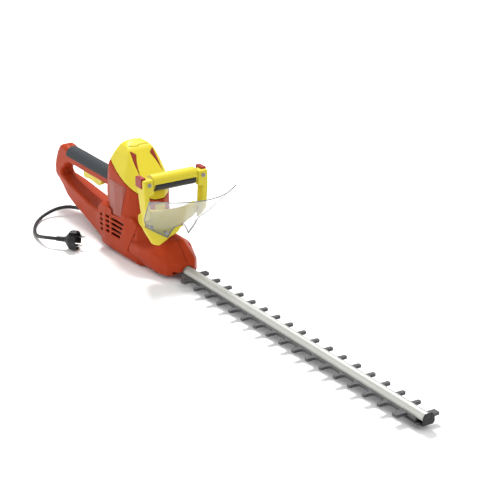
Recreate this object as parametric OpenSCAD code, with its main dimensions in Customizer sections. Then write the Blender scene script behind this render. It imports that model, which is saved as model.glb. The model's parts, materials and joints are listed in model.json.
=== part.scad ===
// Mains hedge trimmer with a long double-sided reciprocating blade.
// +X runs along the blade to its tip, +Y to the left of the user, +Z up.
// The origin is the centre of the flat face that the body stands on.

/* [Blade] */
// Distance between neighbouring teeth on one side
tooth_pitch = 36; // [36:0.5:38]
// Number of teeth on the right side; the left side has one more
tooth_count = 17; // [12:1:17]
// How far a tooth tip stands from the blade's centre line
tooth_reach = 28.6; // [28:0.2:32]
// Half width of the plain strip that carries the teeth
strip_half = 12; // [12:0.1:12.6]
// Thickness of each knife
knife_t = 2.2; // [2:0.1:2.4]
// Radius of the half-round guide bar on top of the knives
bar_r = 9.4; // [9:0.1:9.6]
// Wall of the guide bar
bar_wall = 2; // [1.4:0.1:2.4]
// Stroke of each knife to either side of its middle place
stroke = 9; // [6:0.5:9]

/* [Body] */
// Half width of the motor housing
hump_half = 43; // [42.5:0.5:43.5]
// Wall of the moulded covers
wall = 2.8; // [2.2:0.1:3]
// Height of the top of the hood
hood_top = 204; // [203.5:0.5:204.5]
// Width of the shadow gap between the hood and the housing
hood_gap = 1.2; // [0.8:0.1:1.6]

/* [Handles] */
// Radius of the soft grip on the rear handle
grip_r = 15.5; // [15:0.1:16]
// Half width of the rear handle's upper bar
bar_half = 13; // [12.5:0.1:13.5]
// Outer half width of the front handle
bow_half = 62; // [61:0.5:63]
// Width of one arm of the front handle
arm_w = 20; // [19:0.5:20]

/* [Drive] */
// Tooth module of the pinion and the gear
gear_module = 1.5; // [1.5:0.05:1.55]
// Teeth on the motor pinion
pinion_teeth = 8; // [8:1:8]
// Teeth on the drive gear
gear_teeth = 44; // [44:1:44]
// Place of the motor shaft along the body
motor_x = -4; // [-5:0.5:-3]

/* [Cord] */
// Diameter of the cord
cord_d = 6.4; // [6:0.1:6.8]
// Length of the plug's pins
pin_length = 19; // [18.5:0.5:19.5]

/* [Hidden] */
$fn = 48;

// Gap between pieces that slide past one another
slip = 0.3;
// Levels of the blade stack
lower_z = 13;
upper_z = lower_z + knife_t + slip;
bar_z = upper_z + knife_t + slip;
first_tooth_x = 180;
last_tooth_x = first_tooth_x + tooth_count * tooth_pitch;
knife_end_x = last_tooth_x - 7;
knife_rear_x = 8;
bar_rear_x = 76;
tip_x = knife_end_x + 16;
guide_x = [112, 275, 455, 635];
// Curved bracket of the front handle: centre and radius of its front face
bracket_c = 48;
bracket_r = 70;
// Drive line
pinion_r = gear_module * pinion_teeth / 2;
gear_r = gear_module * gear_teeth / 2;
gear_x = motor_x + pinion_r + gear_r + 0.3;
gear_z = 27;
// Rear handle
grip_x = [-264, -90];
grip_z = 112;
trigger_pivot = [-149, 104];
// Front handle
arm_x = [87, 115];
bow_top = 181;
cross_top = 120;
screw_z = 170;
// Axis and radius of the cross bar
bar_axis = [100.5, 169];
bar_round = 13.5;
// Cord: hand-picked route from the gland to the plug
CORD = [[-230, -12, 19], [-238, -16, 18.4], [-246, -21, 17.8], [-253, -28, 16.4], [-258, -36, 14.5],
    [-260, -45, 12.4], [-259, -55, 10.2], [-256, -65, 8.2], [-251, -75, 6.4], [-244, -84, 5],
    [-236, -92, 4], [-227, -99, 3.4], [-217, -105.3, 3.2], [-206.5, -111, 3.2],
    [-196, -115.8, 3.3], [-186, -119.6, 3.9], [-176, -122.4, 5.2], [-166, -124.3, 7],
    [-155.5, -125.3, 9.4], [-145, -126, 12.2], [-135, -125.8, 14.7], [-125.7, -124, 16.6],
    [-117.6, -120.4, 17.7], [-110.7, -114.8, 18]];
plug_at = [-110.7, -114.8, 18];
plug_turn = 42;
plug_roll = 38;
gland_from = [-212, 0, 32];

// ---------- outlines ----------

// Moves every edge of a counter-clockwise outline inwards by d
function edge_normal(a, b) = [b.y - a.y, a.x - b.x] / norm(b - a);
function inset(p, d) = [for (i = [0 : len(p) - 1])
    let (n1 = edge_normal(p[(i + len(p) - 1) % len(p)], p[i]),
         n2 = edge_normal(p[i], p[(i + 1) % len(p)]))
    p[i] - d * (n1 + n2) / (1 + n1 * n2)];
// Completes a right-hand half outline, listed rear to front, with its mirror image
function both(p) = concat(p, [for (i = [len(p) - 1 : -1 : 0]) [p[i].x, -p[i].y]]);
// Completes a half cross-section, listed bottom to top on the left, with its mirror image
function across(p) = concat(p, [for (i = [len(p) - 1 : -1 : 0]) [-p[i].x, p[i].y]]);

// Seam between the hood and the housing, in the side view
SEAM = [[-80, 180], [-43.4, 163.6], [-24.7, 155], [-1.8, 147], [16.3, 139], [29, 131.5],
    [46, 124], [57, 119.5], [66, 116]];
// Rear edge of the hump and the hood, in the side view, bottom to top
REAR = [[-78, 98], [-74, 113], [-65, 137], [-57, 155], [-52.5, 171], [-45.5, 185], [-38, 197.5]];
HUMP_PLAN = both([[-84, -16], [-74, -31], [-46, 2 - hump_half], [-24, -hump_half],
    [4, 0.5 - hump_half], [20, -38.5], [34, -32], [46, -23], [57, -9]]);
LOWER_PLAN = both([[-92, -38], [-87, -43.5], [-60, -2.2 - hump_half], [-24, -1 - hump_half],
    [10, -0.1 - hump_half], [42, -38], [58, -26]]);
LOWER_SIDE = [[-82, 24], [-73, 4], [-66, 0], [60, 0], [60, 64], [30, 84], [-74, 84], [-91, 70],
    [-90, 58]];
BELLY = across([[33, 0], [45, 10], [50, 24], [50, 110], [hump_half, 135], [41, 150], [37, 162],
    [33, 172], [28.5, 184.5], [22.5, 196.5], [17, 200.5], [10, 203], [4, hood_top]]);
NOSE_PLAN = both([[14, -44.5], [58, -44.5], [92, -39.5], [128, -29.5], [149, -13]]);
NOSE_SIDE = [[18, 0], [66, 0], [133, 10], [149, 19], [149, 31], [116, 63], [92, 65],
    [74, 61], [60, 84], [52, 84], [18, 22]];
NOSE_FRONT = across([[26, 0], [34, 8], [45, 26], [45, 41], [15, 62.5], [15, 90]]);
HOOD_SIDE = concat([[-78, 98], [58.5, 98], [58, 120], [56.5, 130], [50, 141.5], [36, 156], [-1, 191.5],
    [-13, 197], [-27, hood_top - 0.7], [-31, hood_top], [-35, hood_top - 1.5]],
    [for (i = [len(REAR) - 1 : -1 : 1]) REAR[i]]);
// Cross-section of the hood seen along its sloping front
SLOPE_FRONT = across([[70, -90], [50, -42], [38, -18], [31, -7], [26, -2], [20, 0]]);
RING_SIDE = [[-317, 66], [-311, 59], [-297, 54], [-281, 48.5], [-260, 37], [-228, 27],
    [-180, 17], [-134, 8], [-80, 3], [-40, 3], [-40, 124], [-266, 124.5], [-271, 127],
    [-284, 127.5], [-296, 122], [-305, 110], [-312, 96], [-317, 80]];
RING_HOLE = [[-281, 69], [-160, 52], [-100, 52], [-78, 60], [-78, 98], [-258, 98],
    [-269, 94], [-288, 77], [-287, 71]];
LOWER_BAR_PLAN = both([[-345, -11], [-300, -13.5], [-250, -20], [-190, -23], [-130, -27],
    [-90, -34], [-40, -40]]);
PLATE_SIDE = [[-46, 72], [-5, 76], [14, 134.5], [-46, 136]];

// ---------- helpers ----------

// Side outline (x, z) drawn out to half width w on both sides
module side(p, w) {
    translate([0, w, 0]) rotate([90, 0, 0]) linear_extrude(2 * w) polygon(p);
}
// Plan outline (x, y) between two heights
module plan(p, z0, z1) {
    translate([0, 0, z0]) linear_extrude(z1 - z0) polygon(p);
}
// Front outline (y, z) between two places along x
module front(p, x0, x1) {
    translate([x0, 0, 0]) rotate([90, 0, 90]) linear_extrude(x1 - x0) polygon(p);
}
// Box from one corner to the opposite corner
module box(a, b) {
    translate(a) cube(b - a);
}
// Round bar along x, y or z
module rod_x(r, x0, x1, y, z) {
    translate([x0, y, z]) rotate([0, 90, 0]) cylinder(r = r, h = x1 - x0);
}
module rod_y(r, x, y0, y1, z) {
    translate([x, y0, z]) rotate([-90, 0, 0]) cylinder(r = r, h = y1 - y0);
}
module rod_z(r, x, y, z0, z1) {
    translate([x, y, z0]) cylinder(r = r, h = z1 - z0);
}
module tube_z(r, bore, x, y, z0, z1) {
    difference() {
        rod_z(r, x, y, z0, z1);
        rod_z(bore, x, y, z0 - 1, z1 + 1);
    }
}
// Everything on the far side of a plane through p that faces along n
module beyond(p, n) {
    translate(p) rotate([0, acos(n.z / norm(n)), atan2(n.y, n.x)])
        translate([-200, -200, 0]) cube([400, 400, 200]);
}
// Points a local +Z at direction d from point p
module aim(p, d) {
    translate(p) rotate([0, acos(d.z / norm(d)), atan2(d.y, d.x)]) children();
}
module both_sides() {
    children();
    mirror([0, 1, 0]) children();
}
// Cross-recess screw with its head on top, tip at the origin
module screw(head_r, head_h, shank_r, length) {
    difference() {
        union() {
            cylinder(r = shank_r, h = length);
            translate([0, 0, length]) cylinder(r = head_r, h = head_h);
        }
        translate([0, 0, length + head_h]) {
            cube([head_r * 1.2, head_r * 0.28, head_h], center = true);
            cube([head_r * 0.28, head_r * 1.2, head_h], center = true);
        }
    }
}
// Open ring stack that stands for the turns of a small compression spring
module spring_rings(r, wire, length, turns) {
    for (i = [0 : turns - 1])
        translate([0, 0, wire + i * (length - 2 * wire) / (turns - 1)])
            rotate_extrude() translate([r, 0]) circle(r = wire, $fn = 16);
    cube([2 * r, wire, 2 * wire], center = true);
    translate([0, 0, length / 2]) difference() {
        cylinder(r = r + wire * 0.4, h = length - 2 * wire, center = true);
        cylinder(r = r - wire * 0.4, h = length, center = true);
        translate([0, -2 * r, -length]) cube([2 * r, 4 * r, 2 * length]);
    }
}

// ---------- body shapes; t moves every face inwards ----------

module hump(t) {
    intersection() {
        plan(inset(HUMP_PLAN, t), t, 220);
        front(inset(BELLY, t), -80, 70);
        side(concat([[-78, 0], [64, 0], [64, 210]],
            [for (i = [len(REAR) - 1 : -1 : 0]) REAR[i] + [t, 0]]), 60);
        side(concat([[-80, 0], [66, 0]], [for (i = [len(SEAM) - 1 : -1 : 0]) SEAM[i] - [0, hood_gap]]), 60);
    }
}
module lower_body(t) {
    intersection() {
        plan(inset(LOWER_PLAN, t), 0, 100);
        side(inset(LOWER_SIDE, t), 60);
        front(inset(BELLY, t), -100, 70);
    }
}
module nose(t) {
    n = [0.392, 0.714, 0.579];
    difference() {
        intersection() {
            plan(inset(NOSE_PLAN, t), 0, 100);
            side(inset(NOSE_SIDE, t), 60);
            front(inset(NOSE_FRONT, t), 0, 160);
        }
        both_sides() beyond([126, 29.4, 33] - t * n, n);
    }
}
module ring(t) {
    difference() {
        intersection() {
            side(inset(RING_SIDE, t), 60);
            union() {
                plan(both([[-345, -bar_half + t], [-30, -bar_half + t]]), 74, 140);
                plan(inset(LOWER_BAR_PLAN, t), 0, 76);
            }
        }
        side(inset(RING_HOLE, -t), 61);
    }
}
module hood_solid(t) {
    intersection() {
        side(inset(HOOD_SIDE, t), 60);
        plan(inset(HUMP_PLAN, t), 100, 220);
        front(inset(BELLY, t), -80, 80);
        translate([-3, 0, 191]) rotate([0, 44, 0]) front(inset(SLOPE_FRONT, t), -150, 150);
    }
}
module above_seam() {
    side(concat(SEAM, [[66, 230], [-80, 230]]), 60);
}
module grip_zone() {
    intersection() {
        rod_x(grip_r, grip_x[0], grip_x[1], 0, grip_z);
        box([grip_x[0], -20, grip_z - 1], [grip_x[1], 20, 140]);
    }
}
module grip_core() {
    rod_x(grip_r - 3.2, grip_x[0] - 1, grip_x[1] + 1, 0, grip_z);
}
// Air slots in both sides of the motor housing
module vents() {
    for (k = [0 : 3]) {
        z = 62 - 9 * k;
        side([[-38, z], [4 - 4.5 * k, z], [6 - 4.5 * k, z + 4.2], [-38, z + 4.2]], 70);
        side([[-57, z], [-44, z], [-44, z + 4.2], [-57, z + 4.2]], 70);
        side([[-79, z - 3], [-69, z - 3], [-69, z + 1], [-79, z + 1]], 70);
    }
}
// Slanting groove between the motor housing and the nose
module grooves() {
    side([[15, 22], [18.4, 22], [52.4, 84], [49, 84]], 60);
}
BOSSES = [[-301, 88], [-150, 34], [-72, 40], [104, 46], [66, 48]];

module housing() {
    difference() {
        union() {
            difference() {
                union() {
                    hump(0);
                    lower_body(0);
                    nose(0);
                    ring(0);
                }
                intersection() {
                    grooves();
                    difference() {
                        box([0, -60, 0], [70, 60, 90]);
                        box([0, -41.6, 0], [70, 41.6, 90]);
                    }
                }
                hump(wall);
                lower_body(wall);
                nose(wall);
                difference() {
                    ring(wall);
                    box([-345, -30, 88], [-66, 30, 140]);
                }
                box([-302, -8.5, 101], [-40, 8.5, 118]);
                vents();
            }
            intersection() {
                union() {
                    hump(1);
                    lower_body(1);
                    nose(1);
                    ring(1);
                }
                union() {
                    for (b = BOSSES) rod_y(4, b.x, -60, 60, b.y);
                    // shelf under the gear plate
                    both_sides() box([-30, 35, 32], [40, 60, 37]);
                }
            }
            // tongue that closes the shadow gap under the hood
            intersection() {
                difference() {
                    hood_solid(wall - 0.2);
                    hood_solid(wall + 1.4);
                }
                side(concat([for (q = SEAM) q - [0, 8]],
                    [for (i = [len(SEAM) - 1 : -1 : 0]) SEAM[i] + [0, 4]]), 60);
            }
        }
        for (b = BOSSES) {
            rod_y(1.6, b.x, -10.2, 60, b.y);
            rod_y(3.6, b.x, 10.5, 60, b.y);
        }
        // seat of the soft grip
        difference() {
            grip_zone();
            grip_core();
        }
        // slot for the trigger
        box([-219, -5.6, 90], [-143, 5.6, 104]);
        // pivot of the trigger
        rod_y(2, trigger_pivot.x, -10.8, 10.8, trigger_pivot.y);
        // blade slot in the nose
        box([100, -strip_half - 1.6, lower_z - 1], [160, strip_half + 1.6, bar_z]);
        box([131, -22, 0], [160, 22, bar_z - 0.2]);
        rod_x(bar_r + 0.05, 100, 160, 0, bar_z);
        // opening under the gear case
        side([[-2, -1], [106, -1], [106, cover_z(106) + 4], [66, 4], [-2, 4]], 24.5);
        // gland seat
        aim(gland_from, CORD[0] - gland_from) cylinder(r = 7.05, h = 30);
        // seats of the name plates
        plates();
    }
}
// Thin plates that follow the sides of the motor housing
module plates() {
    intersection() {
        side(PLATE_SIDE, 60);
        difference() {
            hump(-0.4);
            hump(0.6);
        }
        both_sides() box([-60, 20, 60], [60, 60, 150]);
    }
}
// Places of the two narrow inlays in the hood's front edges
module inlay_zone() {
    both_sides() plan([[-4, 22], [2, 13.5], [12, 18], [21, 20.8], [30, 22.6], [13, 22.9]], 120, 230);
}

module housing_left() {
    color("#c8432a") intersection() {
        housing();
        box([-400, 0, -10], [200, 80, 230]);
    }
}
module housing_right() {
    color("#c8432a") intersection() {
        housing();
        box([-400, -80, -10], [200, 0, 230]);
    }
}
module motor_hood() {
    color("#e2cf2c") difference() {
        intersection() {
            hood_solid(0);
            above_seam();
        }
        hood_solid(wall - 0.3);
        difference() {
            inlay_zone();
            hood_solid(1.2);
        }
    }
}
module hood_inlays() {
    color("#b13a2c") intersection() {
        difference() {
            hood_solid(-0.3);
            hood_solid(1.2);
        }
        inlay_zone();
    }
}
module name_plates() {
    color("#cf5a40") plates();
}
module rear_grip() {
    color("#45484b") difference() {
        grip_zone();
        grip_core();
    }
}

// ---------- rear switch ----------

module rear_trigger() {
    color("#e2cf2c") difference() {
        side([[-215, 86], [-211, 82], [-158, 82], [-146, 88], [-144.5, 104], [-146, 107.5],
            [-152, 107.5], [-156, 101], [-213, 101], [-215, 99]], 5);
        rod_y(2.05, trigger_pivot.x, -10, 10, trigger_pivot.y);
    }
}
module trigger_pin() {
    color("#b8babb") rod_y(2, trigger_pivot.x, -10.4, 10.4, trigger_pivot.y);
}
// Turns of the torsion spring on the trigger's pin
module trigger_spring() {
    color("#b8babb") both_sides() translate([trigger_pivot.x, 5.5, trigger_pivot.y])
        rotate([-90, 0, 0]) for (i = [0 : 2]) translate([0, 0, 0.45 + i * 0.85])
            rotate_extrude() translate([2.45, 0]) circle(r = 0.43, $fn = 16);
}
module rear_switch() {
    color("#2c2e30") {
        box([-206, -8, 110.5], [-166, 8, 117.8]);
        rod_z(2.2, -200, 0, 106.9, 111);
    }
}

// ---------- front handle ----------

module front_handle_frame() {
    inner = bow_half - arm_w;
    color("#e2cf2c") difference() {
        union() {
            both_sides() intersection() {
                plan([[arm_x[0], bow_half - 4], [103, inner], [arm_x[1] + 1, inner],
                    [arm_x[1] + 1, bow_half], [arm_x[0], bow_half]], 80, 190);
                side([[95, 92], [99, 90], [arm_x[1] + 1, 112], [arm_x[1], 150], [arm_x[1], bow_top - 3],
                    [arm_x[0], bow_top - 3], [arm_x[0], 160], [91.5, 152]], bow_half);
                front([[46, 86], [56, 97], [bow_half, 152], [bow_half, bow_top], [inner, bow_top],
                    [inner, 152.5], [51.5, 149.5]], 80, 130);
            }
            // curved bracket with a leg on each side of the nose
            intersection() {
                difference() {
                    rod_z(bracket_r, bracket_c, 0, 50, 130);
                    rod_z(bracket_r - 9, bracket_c, 0, 49, 131);
                }
                front([[-32, 58.5], [-14, 73], [0, 79], [10, 91], [22, 96], [bow_half, 103],
                    [bow_half, 110], [inner, cross_top], [-inner, cross_top],
                    [-bow_half, 110], [-bow_half, 102], [-52, 88], [-40, 60]], 86, 130);
            }
            rod_x(2.6, 92, 103.2, -50, 97);
            rod_x(3.6, 106, 112.3, -24, 83);
            // yoke that reaches back to the motor housing
            box([56, -15, 84], [111, 15, 91]);
            box([56.4, -9, 84], [60.5, 9, 112]);
        }
        both_sides() {
            rod_x(2, 90, 125, 51.5, screw_z);
            // cable way through the arm
            box([99, 53.2, 106], [107, 55.4, 165]);
        }
        rod_x(1.5, 90, 130, -50, 97);
        rod_x(1.5, 100, 130, -24, 83);
        both_sides() cap_zone();
        hump(0);
        nose(0);
    }
}
module cap_zone() {
    difference() {
        box([arm_x[0] - 1, bow_half - 9, bow_top - 18], [arm_x[0] + 20, bow_half + 1, bow_top + 1]);
        box([arm_x[0] + 4, bow_half - 10, bow_top - 23], [arm_x[0] + 24, bow_half - 3, bow_top - 5]);
    }
}
// Cross bar: a yellow tube with a slot for the switch bar
module front_handle_bar() {
    half = bow_half - arm_w;
    color("#e2cf2c") difference() {
        rod_y(bar_round, bar_axis.x, -half, half, bar_axis.y);
        rod_y(bar_round - 3, bar_axis.x, -half + 3, half - 3, bar_axis.y);
        box([101.4, -half + 2.4, 150], [120, half - 2.4, 167.8]);
    }
}
module handle_caps() {
    color("#a83232") both_sides() intersection() {
        cap_zone();
        box([arm_x[0] - 0.8, bow_half - 9, bow_top - 18], [arm_x[0] + 20, bow_half + 0.8, bow_top]);
    }
}
module handle_screws() {
    color("#b8babb") both_sides() translate([94, 51.5, screw_z]) rotate([0, 90, 0])
        screw(3.4, 1.4, 2, arm_x[1] - 94);
}
module front_switch_bar() {
    half = bow_half - arm_w - 2.8;
    color("#1d1e20") {
        intersection() {
            rod_y(bar_round + 0.7, bar_axis.x + 0.2, -half, half, bar_axis.y - 1.2);
            box([104.8, -half, 150], [120, half, 167.4]);
        }
        box([102.6, -half + 8, 160.8], [106, half - 8, 164.8]);
    }
}
module front_switch() {
    color("#2c2e30") {
        box([94, -14, 163.8], [98.5, 14, 174.8]);
        rod_x(1.2, 98, 99.1, 0, 165.2);
    }
}
module front_switch_springs() {
    color("#b8babb") both_sides() translate([95.4, 24, 165.8]) rotate([0, 90, 0])
        spring_rings(1.8, 0.35, 3.4, 4);
}

// ---------- hand shield ----------

// Height of the lower edge, forward place of the sheet and its bow, by height and side
function shield_low(y) = let (a = abs(y))
    a < 20 ? 96 - 23.5 * pow(a / 20, 2) :
    a < 54 ? 72.5 + (a - 20) * 0.6 :
    a < 68 ? 93 + (a - 54) * 1.64 : 116 + (a - 68) * 3.2;
function shield_high(y) = let (a = abs(y))
    165.5 - 0.5 * pow(a / 82, 2) - (a < 80 ? 0 : 2 * (1 - sqrt(1 - pow((a - 80) / 2, 2))));
function shield_mid(z) = z < 90 ? 118.4 + (z - 72) * 0.12 :
    120.6 + (z - 90) * 1.18 + pow(z - 90, 2) * 0.0006;
function shield_bow(z) = 58 + 22 * (1 - exp(-max(z - 93, 0) / 7));
function shield_x(y, z) = shield_mid(z) - y * y / (2 * shield_bow(z));
SHIELD_Y = [for (i = [0 : 32]) -82 + i * 164 / 32];
shield_rows = 8;
shield_t = 3;
function shield_point(i, j, t) = let (y = SHIELD_Y[i],
    z = shield_low(y) + (shield_high(y) - shield_low(y)) * j / shield_rows)
    [shield_x(y, z) + t, y, z];
function sheet_faces(nu, nv) = let (row = nv + 1, back = (nu + 1) * row) concat(
    [for (i = [0 : nu - 1], j = [0 : nv - 1])
        [i * row + j, i * row + j + 1, (i + 1) * row + j + 1, (i + 1) * row + j]],
    [for (i = [0 : nu - 1], j = [0 : nv - 1])
        [back + i * row + j, back + (i + 1) * row + j, back + (i + 1) * row + j + 1, back + i * row + j + 1]],
    [for (i = [0 : nu - 1])
        [i * row, (i + 1) * row, back + (i + 1) * row, back + i * row]],
    [for (i = [0 : nu - 1])
        [i * row + nv, back + i * row + nv, back + (i + 1) * row + nv, (i + 1) * row + nv]],
    [for (j = [0 : nv - 1]) [j, back + j, back + j + 1, j + 1]],
    [for (j = [0 : nv - 1]) [nu * row + j, nu * row + j + 1, back + nu * row + j + 1, back + nu * row + j]]);

module hand_shield() {
    nu = len(SHIELD_Y) - 1;
    color("#dfe6ea", 0.4) difference() {
        polyhedron(
            points = [for (t = [0, shield_t], i = [0 : nu], j = [0 : shield_rows]) shield_point(i, j, t)],
            faces = sheet_faces(nu, shield_rows));
        rod_x(1.8, 90, 130, -50, 97);
        rod_x(3.3, 115.3, 130, -50, 97);
        rod_x(1.8, 90, 130, -24, 83);
        rod_x(3.3, 119.1, 130, -24, 83);
    }
}
module shield_screws() {
    color("#b8babb") {
        translate([94, -50, 97]) rotate([0, 90, 0]) screw(3.2, 1.4, 1.5, 21.4);
        translate([106, -24, 83]) rotate([0, 90, 0]) screw(3.2, 1.4, 1.5, 13.2);
    }
}

// ---------- blade ----------

// Free space between two neighbouring teeth, centred on x = 0, open at the far side
module tooth_gap() {
    top = tooth_pitch / 2 - 3.4;
    low = strip_half;
    polygon([[-9.5, low], [9.5, low], [12.4, low + 1.2], [13.9, low + 3.4], [top, low + 7],
        [top, tooth_reach - 1.6], [top + 1.2, tooth_reach + 1], [-top - 1.2, tooth_reach + 1],
        [-top, tooth_reach - 1.6], [-top, low + 7], [-13.9, low + 3.4], [-12.4, low + 1.2]]);
}
module knife_outline() {
    difference() {
        union() {
            translate([knife_rear_x, -strip_half]) square([knife_end_x - knife_rear_x, 2 * strip_half]);
            translate([first_tooth_x - 8, -tooth_reach])
                square([(tooth_count - 1) * tooth_pitch + 16, tooth_reach]);
            translate([first_tooth_x - 21, 0])
                square([tooth_count * tooth_pitch + 16, tooth_reach]);
            translate([gear_x - 14, -22]) square([28, 44]);
        }
        for (i = [0 : tooth_count - 2])
            translate([first_tooth_x + (i + 0.5) * tooth_pitch, 0]) mirror([0, 1]) tooth_gap();
        for (i = [0 : tooth_count - 1])
            translate([first_tooth_x - 13 + (i + 0.5) * tooth_pitch, 0]) tooth_gap();
        // yoke around the eccentric
        translate([gear_x - 8.3, -17.6]) square([16.6, 35.2]);
        // guide slots
        for (x = guide_x) {
            translate([x - stroke, -2.9]) square([2 * stroke, 5.8]);
            for (s = [-1, 1]) translate([x + s * stroke, 0]) circle(r = 2.9);
        }
    }
}
module upper_knife() {
    color("#77777a") translate([0, 0, upper_z]) linear_extrude(knife_t) knife_outline();
}
module lower_knife() {
    color("#6a6a6d") translate([0, 0, lower_z]) linear_extrude(knife_t) knife_outline();
}
module guide_bar() {
    color("#c9cac3") difference() {
        union() {
            intersection() {
                rod_x(bar_r, bar_rear_x, tip_x - 3.6, 0, bar_z);
                box([0, -20, bar_z], [900, 20, 40]);
            }
            // root flange on the rails of the bottom cover
            box([bar_rear_x, -22, bar_z], [104, 22, bar_z + bar_wall]);
        }
        intersection() {
            rod_x(bar_r - bar_wall, bar_rear_x - 1, tip_x, 0, bar_z);
            box([0, -20, bar_z + bar_wall], [900, 20, 40]);
        }
        for (x = guide_x) rod_z(2.5, x, 0, 10, bar_z + bar_wall + 1);
        both_sides() rod_z(1.7, 98, 19, 10, 30);
    }
}
module guide_bolts() {
    color("#9a9c9e") for (x = guide_x) {
        rod_z(2.5, x, 0, lower_z - 1, bar_z + bar_wall);
        rod_z(5, x, 0, lower_z - 3.3, lower_z - slip);
        rod_z(4, x, 0, bar_z + bar_wall, bar_z + bar_wall + 3);
    }
}
module tip_guard() {
    color("#1b1c1e") difference() {
        union() {
            front(across([[7, lower_z - 2], [10, lower_z + 1], [10, bar_z + 4], [6, bar_z + 10.2]]),
                tip_x - 3.5, tip_x);
            // tongue inside the end of the guide bar
            intersection() {
                rod_x(bar_r - bar_wall - 0.1, tip_x - 22, tip_x - 2, 0, bar_z);
                box([0, -20, bar_z + bar_wall + 0.1], [900, 20, 40]);
            }
            // skid under the blade end
            plan([[tip_x - 46, -11], [tip_x - 42, -13.2], [tip_x - 12, -13.4], [tip_x - 2, -9.5],
                [tip_x - 2, 9.5], [tip_x - 14, 9], [tip_x - 40, 2]], lower_z - 3.4, lower_z - slip - 0.1);
        }
        // room for the knife ends
        box([tip_x - 60, -30, lower_z - slip], [tip_x - 3.2, 30, bar_z]);
        rod_x(1.6, tip_x - 16, tip_x + 1, 0, bar_z + 5);
        rod_x(3.2, tip_x - 1.6, tip_x + 1, 0, bar_z + 5);
    }
}
module tip_screw() {
    color("#9a9c9e") translate([tip_x - 14, 0, bar_z + 5]) rotate([0, 90, 0])
        cylinder(r = 1.6, h = 12.4);
    color("#9a9c9e") rod_x(3.2, tip_x - 1.6, tip_x - 0.4, 0, bar_z + 5);
}

// ---------- covers and fasteners ----------

// Rise of the underside towards the blade
function cover_z(x) = max(x - 66, 0) * 10 / 67;
module bottom_cover() {
    color("#3a3c3f") difference() {
        union() {
            side([[-2, 1.2], [66, 1.2], [106, cover_z(106) + 1.2], [106, cover_z(106) + 3.2], [66, 3.2],
                [-2, 3.2]], 24.5);
            both_sides() intersection() {
                side([[74, 4], [104, 8.4], [104, bar_z], [74, bar_z]], 22);
                box([70, 14.4, 0], [110, 22, 30]);
            }
            both_sides() box([-1, 20, 3.2], [62, 24, 9]);
        }
        for (x = COVER_SCREWS) both_sides() {
            rod_z(1.7, x, 19, -1, 30);
            rod_z(3.05, x, 19, -1, cover_z(x) + 1.2);
        }
    }
}
COVER_SCREWS = [4, 52, 98];
module bottom_screws() {
    color("#9a9c9e") for (x = COVER_SCREWS) both_sides() {
        rod_z(1.7, x, 19, cover_z(x) + 1.2, x > 90 ? bar_z + bar_wall : 8);
        rod_z(3, x, 19, cover_z(x) + 0.2, cover_z(x) + 1.2);
    }
}
module housing_screws() {
    color("#9a9c9e") for (b = BOSSES) translate([b.x, -10, b.y]) rotate([-90, 0, 0])
        screw(3.4, 2, 1.6, 20.5);
}

// ---------- drive ----------

// Outline of a spur gear whose tooth lies on the x axis
function tooth_points(r, teeth, spin) = [for (i = [0 : teeth - 1],
    p = [[-1.4, 0.3], [-0.35, 0.21], [1.05, 0.11], [1.05, -0.11], [-0.35, -0.21], [-1.4, -0.3]])
    let (a = spin + (i - p.y) * 360 / teeth) (r + p.x) * [cos(a), sin(a)]];

module gear_plate() {
    color("#a9abad") difference() {
        union() {
            plan(both([[-44, -30], [-30, -38], [18, -37.6], [40, -33], [66, -28], [70, -12]]), 37, 41);
            tube_z(13, 10.95, motor_x, 0, 41, 47);
            rod_z(9, gear_x, 0, 41, 48);
        }
        rod_z(6, motor_x, 0, 30, 60);
        rod_z(10.95, motor_x, 0, 39.5, 60);
        rod_z(6, gear_x, 0, 30, 60);
    }
}
module gear_bushing() {
    color("#b98a3e") tube_z(6, 4.05, gear_x, 0, 37, 48);
}
module drive_gear() {
    color("#8b8d90") difference() {
        union() {
            translate([gear_x, 0, gear_z]) linear_extrude(7)
                polygon(tooth_points(gear_r, gear_teeth, 180 + 180 / gear_teeth));
            rod_z(4, gear_x, 0, gear_z, 49);
            rod_z(4, gear_x, 0, bar_z + 0.4, gear_z);
            rod_z(18, gear_x, 0, 24, gear_z);
            rod_z(8, gear_x + stroke, 0, 21.6, 24);
            rod_z(8, gear_x - stroke, 0, bar_z + 0.4, 21.6);
        }
        for (a = [60 : 60 : 360]) rod_z(4, gear_x + 23.5 * cos(a), 23.5 * sin(a), gear_z - 1, 40);
    }
}
module motor_rotor() {
    color("#7c7e82") {
        rod_z(4, motor_x, 0, 24, 160);
        translate([motor_x, 0, 25]) linear_extrude(11)
            polygon(tooth_points(pinion_r, pinion_teeth, 0));
        rod_z(20, motor_x, 0, 74, 114);
    }
    color("#a5682a") {
        rod_z(16.5, motor_x, 0, 66, 74);
        rod_z(16.5, motor_x, 0, 114, 122);
    }
    color("#b5793a") rod_z(11, motor_x, 0, 125, 140);
    color("#3b3d40") {
        rod_z(7, motor_x, 0, 49, 62);
        rod_z(33, motor_x, 0, 49, 50.6);
        for (a = [0 : 30 : 330]) translate([motor_x, 0, 50]) rotate([0, 0, a])
            box([12, -0.9, 0], [33, 0.9, 10]);
    }
}
module lower_bearing() {
    color("#c6c8ca") tube_z(10.95, 4.05, motor_x, 0, 40.5, 47);
}
module upper_bearing() {
    color("#c6c8ca") tube_z(9.5, 4.05, motor_x, 0, 149, 156);
}
module stator_core() {
    color("#6d6f72") difference() {
        rod_z(35, motor_x, 0, 74, 114);
        rod_z(21.2, motor_x, 0, 70, 120);
        both_sides() box([motor_x - 11, 20, 70], [motor_x + 11, 30, 120]);
    }
}
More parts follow.
